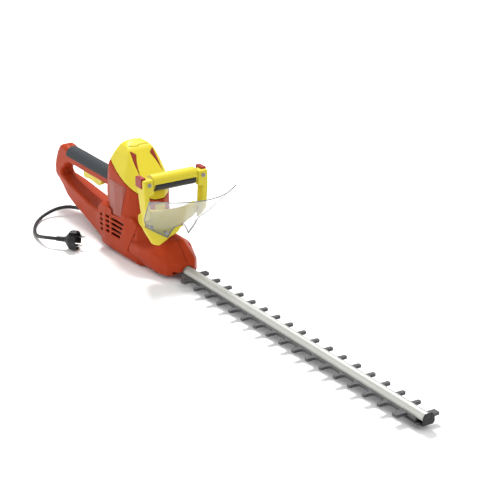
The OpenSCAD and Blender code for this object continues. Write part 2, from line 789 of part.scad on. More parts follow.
module field_windings() {
    color("#a5682a") both_sides() difference() {
        union() {
            box([motor_x - 10, 21.8, 68], [motor_x + 10, 29.4, 120]);
            box([motor_x - 18, 21.8, 66], [motor_x + 18, 29.4, 73.6]);
            box([motor_x - 18, 21.8, 114.4], [motor_x + 18, 29.4, 121]);
        }
        box([motor_x - 4, 0, 73], [motor_x + 4, 40, 115]);
    }
}
// Moulded frame that holds the stator, the top bearing and the brushes
module motor_frame() {
    color("#2f3134") difference() {
        union() {
            tube_z(38, 35, motor_x, 0, 66, 124);
            rod_z(38, motor_x, 0, 122.5, 125);
            tube_z(12.5, 9.5, motor_x, 0, 145, 157);
            rod_z(12.5, motor_x, 0, 156, 158.5);
            for (a = [0, 90, 180, 270]) translate([motor_x, 0, 0]) rotate([0, 0, a + 45])
                box([11.5, -2.2, 124], [16, 2.2, 157]);
            for (a = [45 : 90 : 315]) translate([motor_x, 0, 0]) rotate([0, 0, a])
                box([34, -4, 41], [39, 4, 68]);
        }
        rod_z(18, motor_x, 0, 110, 130);
        rod_z(5, motor_x, 0, 150, 162);
    }
}
module brush_holders() {
    color("#b98a3e") both_sides() difference() {
        box([motor_x - 5, 12, 125], [motor_x + 5, 32, 139]);
        box([motor_x - 3.4, 10, 129], [motor_x + 3.4, 30.6, 137]);
    }
}
module carbon_brushes() {
    color("#262728") both_sides() box([motor_x - 3.3, 11.4, 129.1], [motor_x + 3.3, 23, 136.9]);
}
module brush_springs() {
    color("#b8babb") both_sides() translate([motor_x, 23.5, 133]) rotate([-90, 0, 0])
        spring_rings(2.6, 0.4, 7, 5);
}
module capacitor() {
    color("#c9b23a") rod_x(7, -140, -112, 0, 30);
}
module cord_clamp() {
    color("#2c2e30") box([-205, -12, 36], [-192, 12, 41]);
}

// ---------- cord and plug ----------

module cord_gland() {
    d = CORD[0] - gland_from;
    length = norm(d);
    color("#1b1c1e") aim(gland_from, d) difference() {
        union() {
            cylinder(r = 5.5, h = 9);
            cylinder(r1 = 7, r2 = 4.6, h = length);
        }
        translate([0, 0, -1]) cylinder(r = cord_d / 2, h = length + 2);
    }
}
// Rings of points around a route, and the closed tube through them
function unit(v) = v / norm(v);
function heading(p, i) = unit(p[min(i + 1, len(p) - 1)] - p[max(i - 1, 0)]);
function ring_at(p, i, r, n) = let (t = heading(p, i), u = unit(cross(t, [0, 0.2, 1])), v = cross(t, u))
    [for (k = [0 : n - 1]) p[i] + r * (cos(k * 360 / n) * u + sin(k * 360 / n) * v)];
module tube(p, r, n) {
    rings = len(p);
    polyhedron(
        points = [for (i = [0 : rings - 1], q = ring_at(p, i, r, n)) q],
        faces = concat([[for (k = [0 : n - 1]) k]],
            [for (i = [0 : rings - 2], k = [0 : n - 1])
                [i * n + k, (i + 1) * n + k, (i + 1) * n + (k + 1) % n, i * n + (k + 1) % n]],
            [[for (k = [n - 1 : -1 : 0]) (rings - 1) * n + k]]));
}
module power_cord() {
    color("#1b1c1e") tube(CORD, cord_d / 2, 12);
}
// Round plug with a deep rim around its face
module plug_body() {
    color("#1b1c1e") translate(plug_at) rotate([plug_roll, 0, plug_turn]) difference() {
        rotate([0, 90, 0]) rotate_extrude() polygon([[0, 0], [4.3, 0], [4.9, 16], [6.5, 18], [12, 23],
            [16, 26], [17.4, 29], [17.4, 39], [16.4, 41], [14.8, 41], [14.8, 32], [0, 32]]);
        for (s = [-1, 1]) {
            rod_x(2.4, 29, 43, s * 9.5, 0);
            translate([32, 0, s * 16.4]) cube([20, 8.4, 8], center = true);
        }
    }
}
module plug_pins() {
    color("#b8babb") translate(plug_at) rotate([plug_roll, 0, plug_turn])
        for (s = [-1, 1]) rod_x(2.4, 29.5, 32 + pin_length, s * 9.5, 0);
}

housing_left();
housing_right();
motor_hood();
hood_inlays();
name_plates();
rear_grip();
rear_trigger();
trigger_pin();
trigger_spring();
rear_switch();
front_handle_frame();
front_handle_bar();
handle_caps();
handle_screws();
front_switch_bar();
front_switch();
front_switch_springs();
hand_shield();
shield_screws();
guide_bar();
guide_bolts();
upper_knife();
lower_knife();
tip_guard();
tip_screw();
bottom_cover();
bottom_screws();
housing_screws();
gear_plate();
gear_bushing();
drive_gear();
motor_rotor();
lower_bearing();
upper_bearing();
stator_core();
field_windings();
motor_frame();
brush_holders();
carbon_brushes();
brush_springs();
capacitor();
cord_clamp();
cord_gland();
power_cord();
plug_body();
plug_pins();
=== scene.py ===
"""Looks of the hedge trimmer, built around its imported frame, in millimetres until a mesh is stored."""
import json
import math
import bmesh
import bpy
import numpy as np
from mathutils import Matrix, Vector


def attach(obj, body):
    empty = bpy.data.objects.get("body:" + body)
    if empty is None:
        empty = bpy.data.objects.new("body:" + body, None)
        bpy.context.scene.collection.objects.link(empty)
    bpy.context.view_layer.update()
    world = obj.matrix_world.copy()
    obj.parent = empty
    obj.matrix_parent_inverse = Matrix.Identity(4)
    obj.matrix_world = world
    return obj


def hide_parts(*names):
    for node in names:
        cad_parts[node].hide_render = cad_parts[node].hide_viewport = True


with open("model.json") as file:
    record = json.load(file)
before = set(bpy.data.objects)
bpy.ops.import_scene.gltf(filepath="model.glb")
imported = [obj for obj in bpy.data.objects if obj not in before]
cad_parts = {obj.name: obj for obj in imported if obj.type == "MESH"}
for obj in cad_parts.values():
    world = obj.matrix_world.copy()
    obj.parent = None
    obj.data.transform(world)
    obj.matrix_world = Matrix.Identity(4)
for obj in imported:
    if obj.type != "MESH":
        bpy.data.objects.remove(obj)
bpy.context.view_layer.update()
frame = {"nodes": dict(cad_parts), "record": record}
scene = bpy.context.scene
NODES = frame["nodes"]
SLOT_OF = {s["node"]: s["material_slot"] for s in frame["record"]["subparts"]}

# ---------------------------------------------------------------- camera

CAMERA_AT = (2.4937, -1.3746, 1.1100)
AZIMUTH, ELEVATION = math.radians(57.44), math.radians(21.19)
cam_right = Vector((math.cos(AZIMUTH), math.sin(AZIMUTH), 0))
cam_back = Vector((math.sin(AZIMUTH) * math.cos(ELEVATION), -math.cos(AZIMUTH) * math.cos(ELEVATION),
                   math.sin(ELEVATION)))
cam_up = cam_back.cross(cam_right)
camera = bpy.data.objects.new("camera", bpy.data.cameras.new("camera"))
turn = Matrix((cam_right, cam_up, cam_back)).transposed().to_4x4()
camera.matrix_world = Matrix.Translation(CAMERA_AT) @ turn
camera.data.lens = 126
camera.data.sensor_width = 36
camera.data.clip_end = 60
scene.collection.objects.link(camera)
scene.camera = camera

# ---------------------------------------------------------------- materials


def socket(node, name, value):
    """Sets one input of a shader node."""
    node.inputs[name].default_value = value


def add_node(tree, kind, **values):
    """A new node of a kind, with the sockets named in values set."""
    node = tree.nodes.new("ShaderNode" + kind)
    for name, value in values.items():
        socket(node, name.replace("_", " "), value)
    return node


def mix_colors(tree, first, second):
    """A colour mix. Its share is socket 0, its colours are sockets 6 and 7, and its result is output 2."""
    node = add_node(tree, "Mix")
    node.data_type = "RGBA"
    if first is not None:
        node.inputs[6].default_value = first
    node.inputs[7].default_value = second
    return node


def finish_of(name, color, rough, metal=0.0, grain=900.0, bump=0.12, edge_highlight=0.25, spread=0.07, brushed=False,
              clear=0.0, gloss=0.5):
    """A procedural finish: mottled colour, uneven roughness, fine grain and a painted highlight that
    lightens sharp edges.
    """
    material = bpy.data.materials.new(name)
    material.use_nodes = True
    tree = material.node_tree
    link = tree.links.new
    shader = tree.nodes["Principled BSDF"]
    place = add_node(tree, "TexCoord")
    stretch = add_node(tree, "Mapping", Scale=(0.03, 1, 1) if brushed else (1, 1, 1))
    link(place.outputs["Object"], stretch.inputs["Vector"])
    fine = add_node(tree, "TexNoise", Scale=grain, Detail=3)
    link(stretch.outputs["Vector"], fine.inputs["Vector"])
    broad = add_node(tree, "TexNoise", Scale=14, Detail=5)
    link(place.outputs["Object"], broad.inputs["Vector"])

    dark = [c * (1 - spread) for c in color] + [1]
    light = [min(1, c * (1 + spread)) for c in color] + [1]
    shade = mix_colors(tree, dark, light)
    link(broad.outputs["Fac"], shade.inputs[0])
    # Painted highlight: sharp outer edges are mixed toward a lighter colour.
    edge = add_node(tree, "NewGeometry")
    reach = add_node(tree, "MapRange", From_Min=0.52, From_Max=0.62, To_Max=edge_highlight)
    link(edge.outputs["Pointiness"], reach.inputs["Value"])
    highlit_edges = mix_colors(tree, None, [min(1, c * 1.25 + 0.03) for c in color] + [1])
    link(reach.outputs["Result"], highlit_edges.inputs[0])
    link(shade.outputs[2], highlit_edges.inputs[6])
    link(highlit_edges.outputs[2], shader.inputs["Base Color"])

    uneven = add_node(tree, "MapRange", To_Min=max(0.02, rough - 0.07), To_Max=min(1, rough + 0.09))
    link(fine.outputs["Fac"], uneven.inputs["Value"])
    link(uneven.outputs["Result"], shader.inputs["Roughness"])
    relief = add_node(tree, "Bump", Strength=bump, Distance=0.0002)
    link(fine.outputs["Fac"], relief.inputs["Height"])
    link(relief.outputs["Normal"], shader.inputs["Normal"])
    socket(shader, "Metallic", metal)
    socket(shader, "Specular IOR Level", gloss)
    if clear:
        let_light_through(tree, shader, clear)
    return material


def let_light_through(tree, shader, share):
    """Makes a finish clear: share is what it keeps of its own look when it is seen straight on."""
    socket(shader, "IOR", 1.49)
    through = add_node(tree, "BsdfTransparent", Color=(0.87, 0.88, 0.885, 1))
    facing_away = add_node(tree, "LayerWeight", Blend=0.2)
    kept = add_node(tree, "MapRange", To_Min=share, To_Max=min(1, share + 0.4))
    tree.links.new(facing_away.outputs["Facing"], kept.inputs["Value"])
    both_ways = add_node(tree, "MixShader")
    tree.links.new(kept.outputs["Result"], both_ways.inputs["Fac"])
    tree.links.new(through.outputs["BSDF"], both_ways.inputs[1])
    tree.links.new(shader.outputs["BSDF"], both_ways.inputs[2])
    tree.links.new(both_ways.outputs["Shader"], tree.nodes["Material Output"].inputs["Surface"])


# Colour, roughness and what else differs, for each slot
LOOKS = {
    "housing_red": ((0.33, 0.033, 0.006), 0.45, dict(grain=1400, gloss=0.1)),
    "hood_yellow": ((0.60, 0.50, 0.03), 0.38, dict(grain=1400, spread=0.04, gloss=0.2)),
    "inlay_red": ((0.24, 0.024, 0.012), 0.42, dict(gloss=0.2)),
    "plate_red": ((0.25, 0.040, 0.020), 0.35, dict(spread=0.05, gloss=0.25)),
    "grip_rubber": ((0.030, 0.035, 0.040), 0.62, dict(grain=2600, bump=0.5, gloss=0.2)),
    "trigger_yellow": ((0.62, 0.51, 0.03), 0.36, dict(gloss=0.35)),
    "steel": ((0.6, 0.6, 0.62), 0.25, dict(metal=1, brushed=True)),
    "spring_steel": ((0.55, 0.55, 0.57), 0.25, dict(metal=1)),
    "inner_plastic": ((0.03, 0.032, 0.035), 0.5, {}),
    "handle_yellow": ((0.60, 0.50, 0.03), 0.34, dict(grain=1400, spread=0.04, gloss=0.25)),
    "cap_red": ((0.27, 0.02, 0.018), 0.4, dict(gloss=0.35)),
    "screw_steel": ((0.26, 0.26, 0.27), 0.36, dict(metal=0.9)),
    "switch_black": ((0.014, 0.014, 0.017), 0.42, dict(gloss=0.3)),
    "shield_clear": ((0.70, 0.73, 0.75), 0.08,
                     dict(grain=300, bump=0.02, edge_highlight=0.0, spread=0.02, clear=0.09)),
    "guide_silver": ((0.38, 0.38, 0.355), 0.42, dict(metal=0.35, grain=500, bump=0.05, brushed=True)),
    "bolt_steel": ((0.42, 0.42, 0.43), 0.32, dict(metal=1)),
    "knife_steel": ((0.075, 0.075, 0.078), 0.42,
                    dict(metal=0.35, grain=700, bump=0.08, brushed=True, gloss=0.25)),
    "guard_black": ((0.014, 0.014, 0.015), 0.45, dict(gloss=0.3)),
    "cover_steel": ((0.04, 0.04, 0.045), 0.45, {}),
    "cast_aluminium": ((0.5, 0.5, 0.5), 0.5, dict(metal=1, bump=0.4)),
    "bronze": ((0.6, 0.42, 0.18), 0.35, dict(metal=1)),
    "gear_steel": ((0.38, 0.38, 0.4), 0.32, dict(metal=1)),
    "rotor_steel": ((0.33, 0.33, 0.34), 0.4, dict(metal=1)),
    "bearing_steel": ((0.7, 0.7, 0.72), 0.15, dict(metal=1)),
    "core_steel": ((0.22, 0.22, 0.23), 0.45, dict(metal=1)),
    "copper": ((0.55, 0.25, 0.1), 0.35, dict(metal=1)),
    "carbon": ((0.03, 0.03, 0.03), 0.6, {}),
    "capacitor_film": ((0.7, 0.55, 0.08), 0.3, {}),
    "cord_black": ((0.014, 0.014, 0.015), 0.5, dict(grain=1200, gloss=0.3)),
    "plug_black": ((0.014, 0.014, 0.016), 0.46, dict(grain=1200, gloss=0.3)),
    "pin_nickel": ((0.65, 0.64, 0.6), 0.2, dict(metal=1)),
}
FINISH = {name: finish_of(name, color, rough, **more) for name, (color, rough, more) in LOOKS.items()}
RIM_FINISH = finish_of("shield_rim", (0.12, 0.14, 0.15), 0.15, grain=300, bump=0.03, edge_highlight=0.0, clear=0.95)
for node, obj in NODES.items():
    obj.data.materials.clear()
    obj.data.materials.append(FINISH[SLOT_OF[node]])
    for face in obj.data.polygons:
        face.use_smooth = False

# ---------------------------------------------------------------- meshes


def store(name, points, faces, slot, body="body", replaces=(), smooth=True, place=None):
    """Stores a mesh given in millimetres, hangs it on its body and gives it its finish."""
    points = np.asarray(points, float)
    if place is not None:
        points = points @ np.array(place.to_3x3()).T + np.array(place.translation)
    mesh = bpy.data.meshes.new(name)
    if isinstance(faces, np.ndarray):
        mesh.vertices.add(len(points))
        mesh.vertices.foreach_set("co", (points * 0.001).ravel())
        mesh.loops.add(faces.size)
        mesh.loops.foreach_set("vertex_index", faces.ravel().astype(np.int32))
        mesh.polygons.add(len(faces))
        mesh.polygons.foreach_set("loop_start", np.arange(0, faces.size, faces.shape[1], dtype=np.int32))
        mesh.update(calc_edges=True)
    else:
        mesh.from_pydata([list(p) for p in points * 0.001], [], [list(f) for f in faces])
        mesh.update()
    mesh.polygons.foreach_set("use_smooth", [smooth] * len(mesh.polygons))
    mesh.materials.append(FINISH[slot])
    obj = bpy.data.objects.new(name, mesh)
    scene.collection.objects.link(obj)
    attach(obj, body)
    if replaces:
        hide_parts(*replaces)
    return obj


def loft(rings, capped=True):
    """Points and faces of a skin through rings of equally many points."""
    n = len(rings[0])
    points = np.concatenate([np.asarray(r, float) for r in rings])
    faces = [[i * n + k, i * n + (k + 1) % n, (i + 1) * n + (k + 1) % n, (i + 1) * n + k]
             for i in range(len(rings) - 1) for k in range(n)]
    if capped:
        faces.append(list(range(n - 1, -1, -1)))
        faces.append([(len(rings) - 1) * n + k for k in range(n)])
    return points, faces


def turned(profile, sides=40):
    """Rings around local x for a list of (place along x, radius)."""
    a = np.linspace(0, 2 * math.pi, sides, endpoint=False)
    return [np.stack([np.full(sides, p), r * np.cos(a), r * np.sin(a)], 1) for p, r in profile]


def smooth_route(points, per_span):
    """A curve through the points, with per_span steps between neighbours."""
    p = np.asarray(points, float)
    p = np.concatenate([[2 * p[0] - p[1]], p, [2 * p[-1] - p[-2]]])
    out = []
    for i in range(1, len(p) - 2):
        a, b, c, d = p[i - 1:i + 3]
        square = 2 * a - 5 * b + 4 * c - d
        cube = 3 * b - a - 3 * c + d
        for t in np.arange(per_span) / per_span:
            out.append(0.5 * (2 * b + (c - a) * t + square * t * t + cube * t ** 3))
    out.append(p[-2])
    return np.array(out)


def tube_rings(route, radius, sides=28):
    """Rings of a round tube along a route."""
    heading = np.gradient(route, axis=0)
    heading /= np.linalg.norm(heading, axis=1)[:, None]
    side = np.cross(heading, [0, 0.2, 1.0])
    side /= np.linalg.norm(side, axis=1)[:, None]
    top = np.cross(side, heading)
    a = np.linspace(0, 2 * math.pi, sides, endpoint=False)
    across_ring, up_ring = np.cos(a)[:, None], np.sin(a)[:, None]
    return [p + radius * (across_ring * s + up_ring * t) for p, s, t in zip(route, side, top)]


# ---------------------------------------------------------------- cord

# Centre of the cord from its gland to its plug, in metres
ROUTE = [(-0.230, -0.012, 0.019), (-0.238, -0.016, 0.0184), (-0.246, -0.021, 0.0178),
         (-0.253, -0.028, 0.0164), (-0.258, -0.036, 0.0145), (-0.260, -0.045, 0.0124),
         (-0.259, -0.055, 0.0102), (-0.256, -0.065, 0.0082), (-0.251, -0.075, 0.0064),
         (-0.244, -0.084, 0.005), (-0.236, -0.092, 0.004), (-0.227, -0.099, 0.0034),
         (-0.217, -0.1053, 0.0033), (-0.2065, -0.111, 0.0033), (-0.196, -0.1158, 0.0034),
         (-0.186, -0.1196, 0.0039), (-0.176, -0.1224, 0.0052), (-0.166, -0.1243, 0.007),
         (-0.1555, -0.1253, 0.0094), (-0.145, -0.126, 0.0122), (-0.135, -0.1258, 0.0147),
         (-0.1257, -0.124, 0.0166), (-0.1176, -0.1204, 0.0177), (-0.1107, -0.1148, 0.018)]
CORD_D = 6.4
route = smooth_route(np.array(ROUTE) * 1000, 6)
cord = store("mains_cord", *loft(tube_rings(route, CORD_D / 2)), "cord_black", replaces=["power_cord"])

# ---------------------------------------------------------------- shapes as signed distances


def inset(p, d):
    """An outline moved inward by d."""
    out = []
    for i in range(len(p)):
        a, b, c = (np.array(p[(i + k) % len(p)], float) for k in (-1, 0, 1))
        n1 = np.array([(b - a)[1], -(b - a)[0]]) / np.linalg.norm(b - a)
        n2 = np.array([(c - b)[1], -(c - b)[0]]) / np.linalg.norm(c - b)
        out.append(b - d * (n1 + n2) / (1 + n1 @ n2))
    return out


def poly(u, v, pts, r=0.0):
    """Signed distance to an outline, negative inside, with its outer corners rounded by r."""
    pts = inset(pts, r) if r else pts
    best, sign = 1e18, 1.0
    for i in range(len(pts)):
        ax, ay = pts[i]
        bx, by = pts[i - 1]
        ex, ey = bx - ax, by - ay
        wx, wy = u - ax, v - ay
        t = np.clip((wx * ex + wy * ey) / (ex * ex + ey * ey), 0, 1)
        best = np.minimum(best, (wx - ex * t) ** 2 + (wy - ey * t) ** 2)
        above, below, left = v >= ay, v < by, ex * wy > ey * wx
        sign = np.where((above & below & left) | (~above & ~below & ~left), -sign, sign)
    return sign * np.sqrt(best) - r


def meet(a, b, r):
    """What two shapes share, with the edge between them rounded by r."""
    return np.minimum(-r, np.maximum(a, b)) + np.hypot(np.maximum(r + a, 0), np.maximum(r + b, 0))


def join(a, b, r):
    """Two shapes as one, with a fillet of radius r between them."""
    return np.maximum(r, np.minimum(a, b)) - np.hypot(np.maximum(r - a, 0), np.maximum(r - b, 0))


def cut(a, b, r=0.4):
    """The first shape without the second, with the new edge rounded by r."""
    return meet(a, -b, r)


def block(x, y, z, low, high, r=0.0):
    """A box between two corners, with edges rounded by r."""
    d = [np.abs(c - (a + b) / 2) - (b - a) / 2 + r for c, a, b in zip((x, y, z), low, high)]
    outside = np.sqrt(np.maximum(d[0], 0) ** 2 + np.maximum(d[1], 0) ** 2 + np.maximum(d[2], 0) ** 2)
    return outside + np.minimum(np.maximum(d[0], np.maximum(d[1], d[2])), 0) - r


def slab(v, low, high):
    """Everything between two planes across one direction."""
    return np.maximum(low - v, v - high)


def disc(u, v, at, radius):
    """A round bore or rod that runs across u and v."""
    return np.hypot(u - at[0], v - at[1]) - radius


def both(p):
    """An outline in x and y, completed by its mirror image on the other side."""
    return list(p) + [(x, -y) for x, y in reversed(p)]


def across(p):
    """An outline in y and z, completed by its mirror image on the other side."""
    return list(p) + [(-x, y) for x, y in reversed(p)]


def settle(field, points, step):
    """Moves points along the slope of a field onto the surface where it is zero."""
    reach = 0.04
    slope = np.stack([field(*(points + reach * e).T) - field(*(points - reach * e).T)
                      for e in np.eye(3)], 1) / (2 * reach)
    off = np.clip(field(points[:, 0], points[:, 1], points[:, 2]), -step, step)
    return points - off[:, None] * slope / np.maximum((slope * slope).sum(1), 0.2)[:, None]


def crossing_points(v, at):
    """For each cell, the middle of the places where the field changes sign along the cell's edges."""
    spot = np.zeros((len(at), 3))
    hits = np.zeros(len(at))
    for a in [(i, j, k) for i in (0, 1) for j in (0, 1) for k in (0, 1)]:
        for axis in range(3):
            if a[axis]:
                continue
            b = tuple(1 if k == axis else a[k] for k in range(3))
            va = v[at[:, 0] + a[0], at[:, 1] + a[1], at[:, 2] + a[2]]
            vb = v[at[:, 0] + b[0], at[:, 1] + b[1], at[:, 2] + b[2]]
            crosses = (va < 0) != (vb < 0)
            t = np.where(crosses, va / np.where(crosses, va - vb, 1), 0)
            where = np.array(a, float) + t[:, None] * (np.array(b) - np.array(a))
            spot += where * crosses[:, None]
            hits += crosses
    return spot / hits[:, None]


def cell_quads(inside, number):
    """A quad across every grid edge that passes through the surface, facing outward."""
    quads = []
    for axis in range(3):
        u, w = (axis + 1) % 3, (axis + 2) % 3
        first = np.take(inside, range(inside.shape[axis] - 1), axis)
        second = np.take(inside, range(1, inside.shape[axis]), axis)
        e = np.argwhere(first != second)
        e = e[(e[:, u] > 0) & (e[:, w] > 0) & (e[:, u] < number.shape[u]) & (e[:, w] < number.shape[w])]
        ring = []
        for du, dw in ((1, 1), (0, 1), (0, 0), (1, 0)):
            c = e.copy()
            c[:, u] -= du
            c[:, w] -= dw
            ring.append(number[c[:, 0], c[:, 1], c[:, 2]])
        q = np.stack(ring, 1)
        outward = first[e[:, 0], e[:, 1], e[:, 2]]
        quads.append(np.where(outward[:, None], q, q[:, ::-1]))
    return np.concatenate(quads)


def surface(field, low, high, step, rounds=2):
    """A quad mesh of the surface where the field is zero, from a grid of cells between two corners."""
    counts = [int(math.ceil((b - a) / step)) + 1 for a, b in zip(low, high)]
    x, y, z = [a + step * np.arange(n) for a, n in zip(low, counts)]
    v = np.broadcast_to(field(x[:, None, None], y[None, :, None], z[None, None, :]), counts)
    v = v.astype(np.float32)
    inside = v < 0
    cells = tuple(n - 1 for n in counts)
    total = np.zeros(cells, np.int8)
    for i, j, k in [(i, j, k) for i in (0, 1) for j in (0, 1) for k in (0, 1)]:
        total += inside[i:i + cells[0], j:j + cells[1], k:k + cells[2]]
    active = (total > 0) & (total < 8)
    at = np.argwhere(active)
    number = np.full(cells, -1, np.int64)
    number[active] = np.arange(len(at))
    quads = cell_quads(inside, number)
    points = settle(field, np.array(low) + step * (at + crossing_points(v, at)), step)
    # even out the mesh: every point moves toward its neighbours and then back onto the surface
    for _ in range(rounds):
        pull, count = np.zeros_like(points), np.zeros(len(points))
        for k in range(4):
            for o in (1, 3):
                a, b = quads[:, k], quads[:, (k + o) % 4]
                for c in range(3):
                    pull[:, c] += np.bincount(a, points[b, c], len(points))
                count += np.bincount(a, minlength=len(points))
        points = settle(field, 0.45 * points + 0.55 * pull / np.maximum(count, 1)[:, None], step)
    return points, quads


def on_side(side, low, high):
    """The corners of a grid given for the left side (1), or mirrored for the right side (-1)."""
    if side > 0:
        return low, high
    return (low[0], -high[1], low[2]), (high[0], -low[1], high[2])


SIDE_NAMES = ((-1, "right"), (1, "left"))

# ---------------------------------------------------------------- outlines of the body

# Wall of the housing, and height of the guide bar's flat underside
WALL = 2.8
BAR_Z = 18.0
# Line between hood and housing, and the back of the motor housing, seen from the side
SEAM = [(-80, 180), (-43.4, 163.6), (-24.7, 155), (-1.8, 147), (16.3, 139), (29, 131.5), (46, 124),
        (57, 119.5), (66, 116)]
REAR = [(-78, 98), (-74, 113), (-65, 137), (-57, 155), (-52.5, 171), (-45.5, 185), (-38, 197.5)]
# Motor housing: from above, lower part from above and from the side, and from the front
HUMP_PLAN = both([(-84, -16), (-74, -31), (-46, -41), (-24, -43), (4, -42.5), (20, -38.5), (34, -32),
                  (46, -23), (57, -9)])
LOWER_PLAN = both([(-92, -38), (-87, -43.5), (-60, -45.2), (-24, -44), (10, -43.1), (42, -38), (58, -26)])
LOWER_SIDE = [(-82, 24), (-73, 4), (-66, 0), (60, 0), (60, 64), (30, 84), (-74, 84), (-91, 70), (-90, 58)]
BELLY = across([(33, 0), (45, 10), (50, 24), (50, 110), (43, 135), (41, 150), (37, 162), (33, 172),
                (28.5, 184.5), (22.5, 196.5), (17, 200.5), (10, 203), (4, 204)])
# Nose: from above, from the side, from the front, and the flat that bevels its front corners
NOSE_PLAN = both([(14, -44.5), (58, -44.5), (92, -39.5), (128, -29.5), (149, -13)])
NOSE_SIDE = [(18, 0), (66, 0), (133, 10), (149, 19), (149, 31), (116, 63), (92, 65), (74, 61), (60, 84),
             (52, 84), (18, 22)]
NOSE_FRONT = across([(26, 0), (34, 8), (45, 26), (45, 41), (15, 62.5), (15, 90)])
BEVEL_AT, BEVEL_WAY = (126, 29.4, 33), (0.392, 0.714, 0.579)
# Hood from the side, and its sloping front seen square on, where it starts and how it leans
HOOD_SIDE = [(-78, 98), (58.5, 98), (58, 120), (56.5, 130), (50, 141.5), (36, 156), (-1, 191.5),
             (-13, 197), (-27, 203.3), (-31, 204), (-35, 202.5)] + REAR[:0:-1]
SLOPE_FRONT = across([(70, -90), (50, -42), (38, -18), (31, -7), (26, -2), (20, 0)])
SLOPE_X, SLOPE_Z, SLOPE_LEAN = -3, 191, math.radians(44)
# Ring of the rear handle from the side, its opening, half the width of its lower bar at places along
# x, and half the width of its upper bar
RING_SIDE = [(-317, 66), (-311, 59), (-297, 54), (-281, 48.5), (-260, 37), (-228, 27), (-180, 17),
             (-134, 8), (-80, 3), (-40, 3), (-40, 124), (-266, 124.5), (-271, 127), (-284, 127.5),
             (-296, 122), (-305, 110), (-312, 96), (-317, 80)]
RING_HOLE = [(-281, 69), (-160, 52), (-100, 52), (-78, 60), (-78, 98), (-258, 98), (-269, 94), (-288, 77),
             (-287, 71)]
LOWER_BAR = ((-345, -300, -250, -190, -130, -90, -40), (11, 13.5, 20, 23, 27, 34, 40))
UPPER_BAR = 13
# Name plate from the side, and inlay from above
PLATE_SIDE = [(-46, 72), (-5, 76), (14, 134.5), (-46, 136)]
INLAY = [(-4, 22), (2, 13.5), (12, 18), (21, 20.8), (30, 22.6), (13, 22.9)]
# Housing screws, soft grip, trigger pin, and where the cord's gland sits
BOSSES = [(-301, 88), (-150, 34), (-72, 40), (104, 46), (66, 48)]
GRIP_X, GRIP_Z, GRIP_R, GRIP_CORE = (-264, -90), 112, 15.5, 12.1
PIVOT = (-149, 104)
GLAND = np.array([-212.0, 0, 32])
GLAND_WAY = np.array(ROUTE[0]) * 1000 - GLAND
GLAND_REACH = float(np.linalg.norm(GLAND_WAY))


def hump(x, y, z):
    """The motor housing, hood included."""
    d = meet(poly(x, y, HUMP_PLAN, 5), poly(y, z, BELLY, 2), 3)
    return meet(d, poly(x, z, [(-78, -1), (64, -1), (64, 225)] + REAR[::-1], 3), 3)


def lower_body(x, y, z):
    """The wider part around the air slots."""
    d = meet(poly(x, y, LOWER_PLAN, 4), poly(x, z, LOWER_SIDE, 4), 4)
    return meet(d, poly(y, z, BELLY, 4), 3)


def nose(x, y, z):
    """The gear housing in front."""
    d = meet(poly(x, y, NOSE_PLAN, 5), poly(x, z, NOSE_SIDE, 2.5), 3)
    d = meet(d, poly(y, z, NOSE_FRONT, 4), 4)
    past = (x - BEVEL_AT[0]) * BEVEL_WAY[0] + (np.abs(y) - BEVEL_AT[1]) * BEVEL_WAY[1]
    return meet(d, past + (z - BEVEL_AT[2]) * BEVEL_WAY[2], 3)


def ring(x, y, z):
    """The ring of the rear handle, wider at its lower bar."""
    low = np.interp(x, *LOWER_BAR)
    t = np.clip((z - 64) / 20, 0, 1)
    width = low + (UPPER_BAR - low) * t * t * (3 - 2 * t)
    d = meet(poly(x, z, RING_SIDE, 4), np.abs(y) - width, 7)
    return meet(d, -poly(x, z, RING_HOLE, 6), 5)


def plate_field(x, y, z, outer, inner):
    """The skin that carries a name plate, between two depths, and the plate's outline."""
    h = hump(x, y, z)
    skin = np.maximum(np.maximum(h + outer, -(h + inner)), 20 - np.abs(y))
    return skin, poly(x, z, PLATE_SIDE, 3)


def vents(x, y, z):
    """Four rows of air slots, three in a row, on both sides."""
    d = 1e3
    for k in range(4):
        low = 62 - 9 * k
        high = low + 4.2
        front = 4 - 4.5 * k
        slots = ([(-38, low), (front, low), (front + 2, high), (-38, high)],
                 [(-57, low), (-44, low), (-44, high), (-57, high)],
                 [(-79, low - 3), (-69, low - 3), (-69, low + 1), (-79, low + 1)])
        for slot in slots:
            d = np.minimum(d, poly(x, z, slot, 1))
    return np.maximum(d, 30 - np.abs(y))


def shell_openings(x, y, z):
    """What is cut out of the shells for the parts that sit in them, each with the radius of its edges."""
    # seat of the soft grip
    core = np.hypot(y, z - GRIP_Z)
    seat = np.maximum(np.maximum(core - GRIP_R - 6, GRIP_Z - 1 - z),
                      np.maximum(slab(x, *GRIP_X), GRIP_CORE - core))
    yield seat, 0.3
    # slot and pin bore of the trigger
    yield block(x, y, z, (-219, -5.6, 90), (-143, 5.6, 104), 0.5), 0.4
    yield np.maximum(disc(x, z, PIVOT, 2.1), np.abs(y) - 10.9), 0.1
    # mouth in front for the guide bar and the knives
    mouth = np.minimum(block(x, y, z, (100, -14.1, 12), (165, 14.1, BAR_Z), 0.5),
                       block(x, y, z, (131, -22, -2), (165, 22, BAR_Z - 0.2), 0.5))
    yield np.minimum(mouth, np.maximum(np.hypot(y, z - BAR_Z) - 9.7, 100 - x)), 0.5
    # open underside under the gears
    rise = np.maximum(x - 66, 0) * 0.149
    yield np.maximum(slab(x, -2, 106), np.maximum(np.abs(y) - 24.7, z - rise - 4)), 0.3
    # round seat of the cord's gland
    way = GLAND_WAY / GLAND_REACH
    px, py, pz = x - GLAND[0], y - GLAND[1], z - GLAND[2]
    along = px * way[0] + py * way[1] + pz * way[2]
    off = np.sqrt(np.maximum(px * px + py * py + pz * pz - along * along, 0))
    yield np.maximum(off - 7.1, -along), 0.3


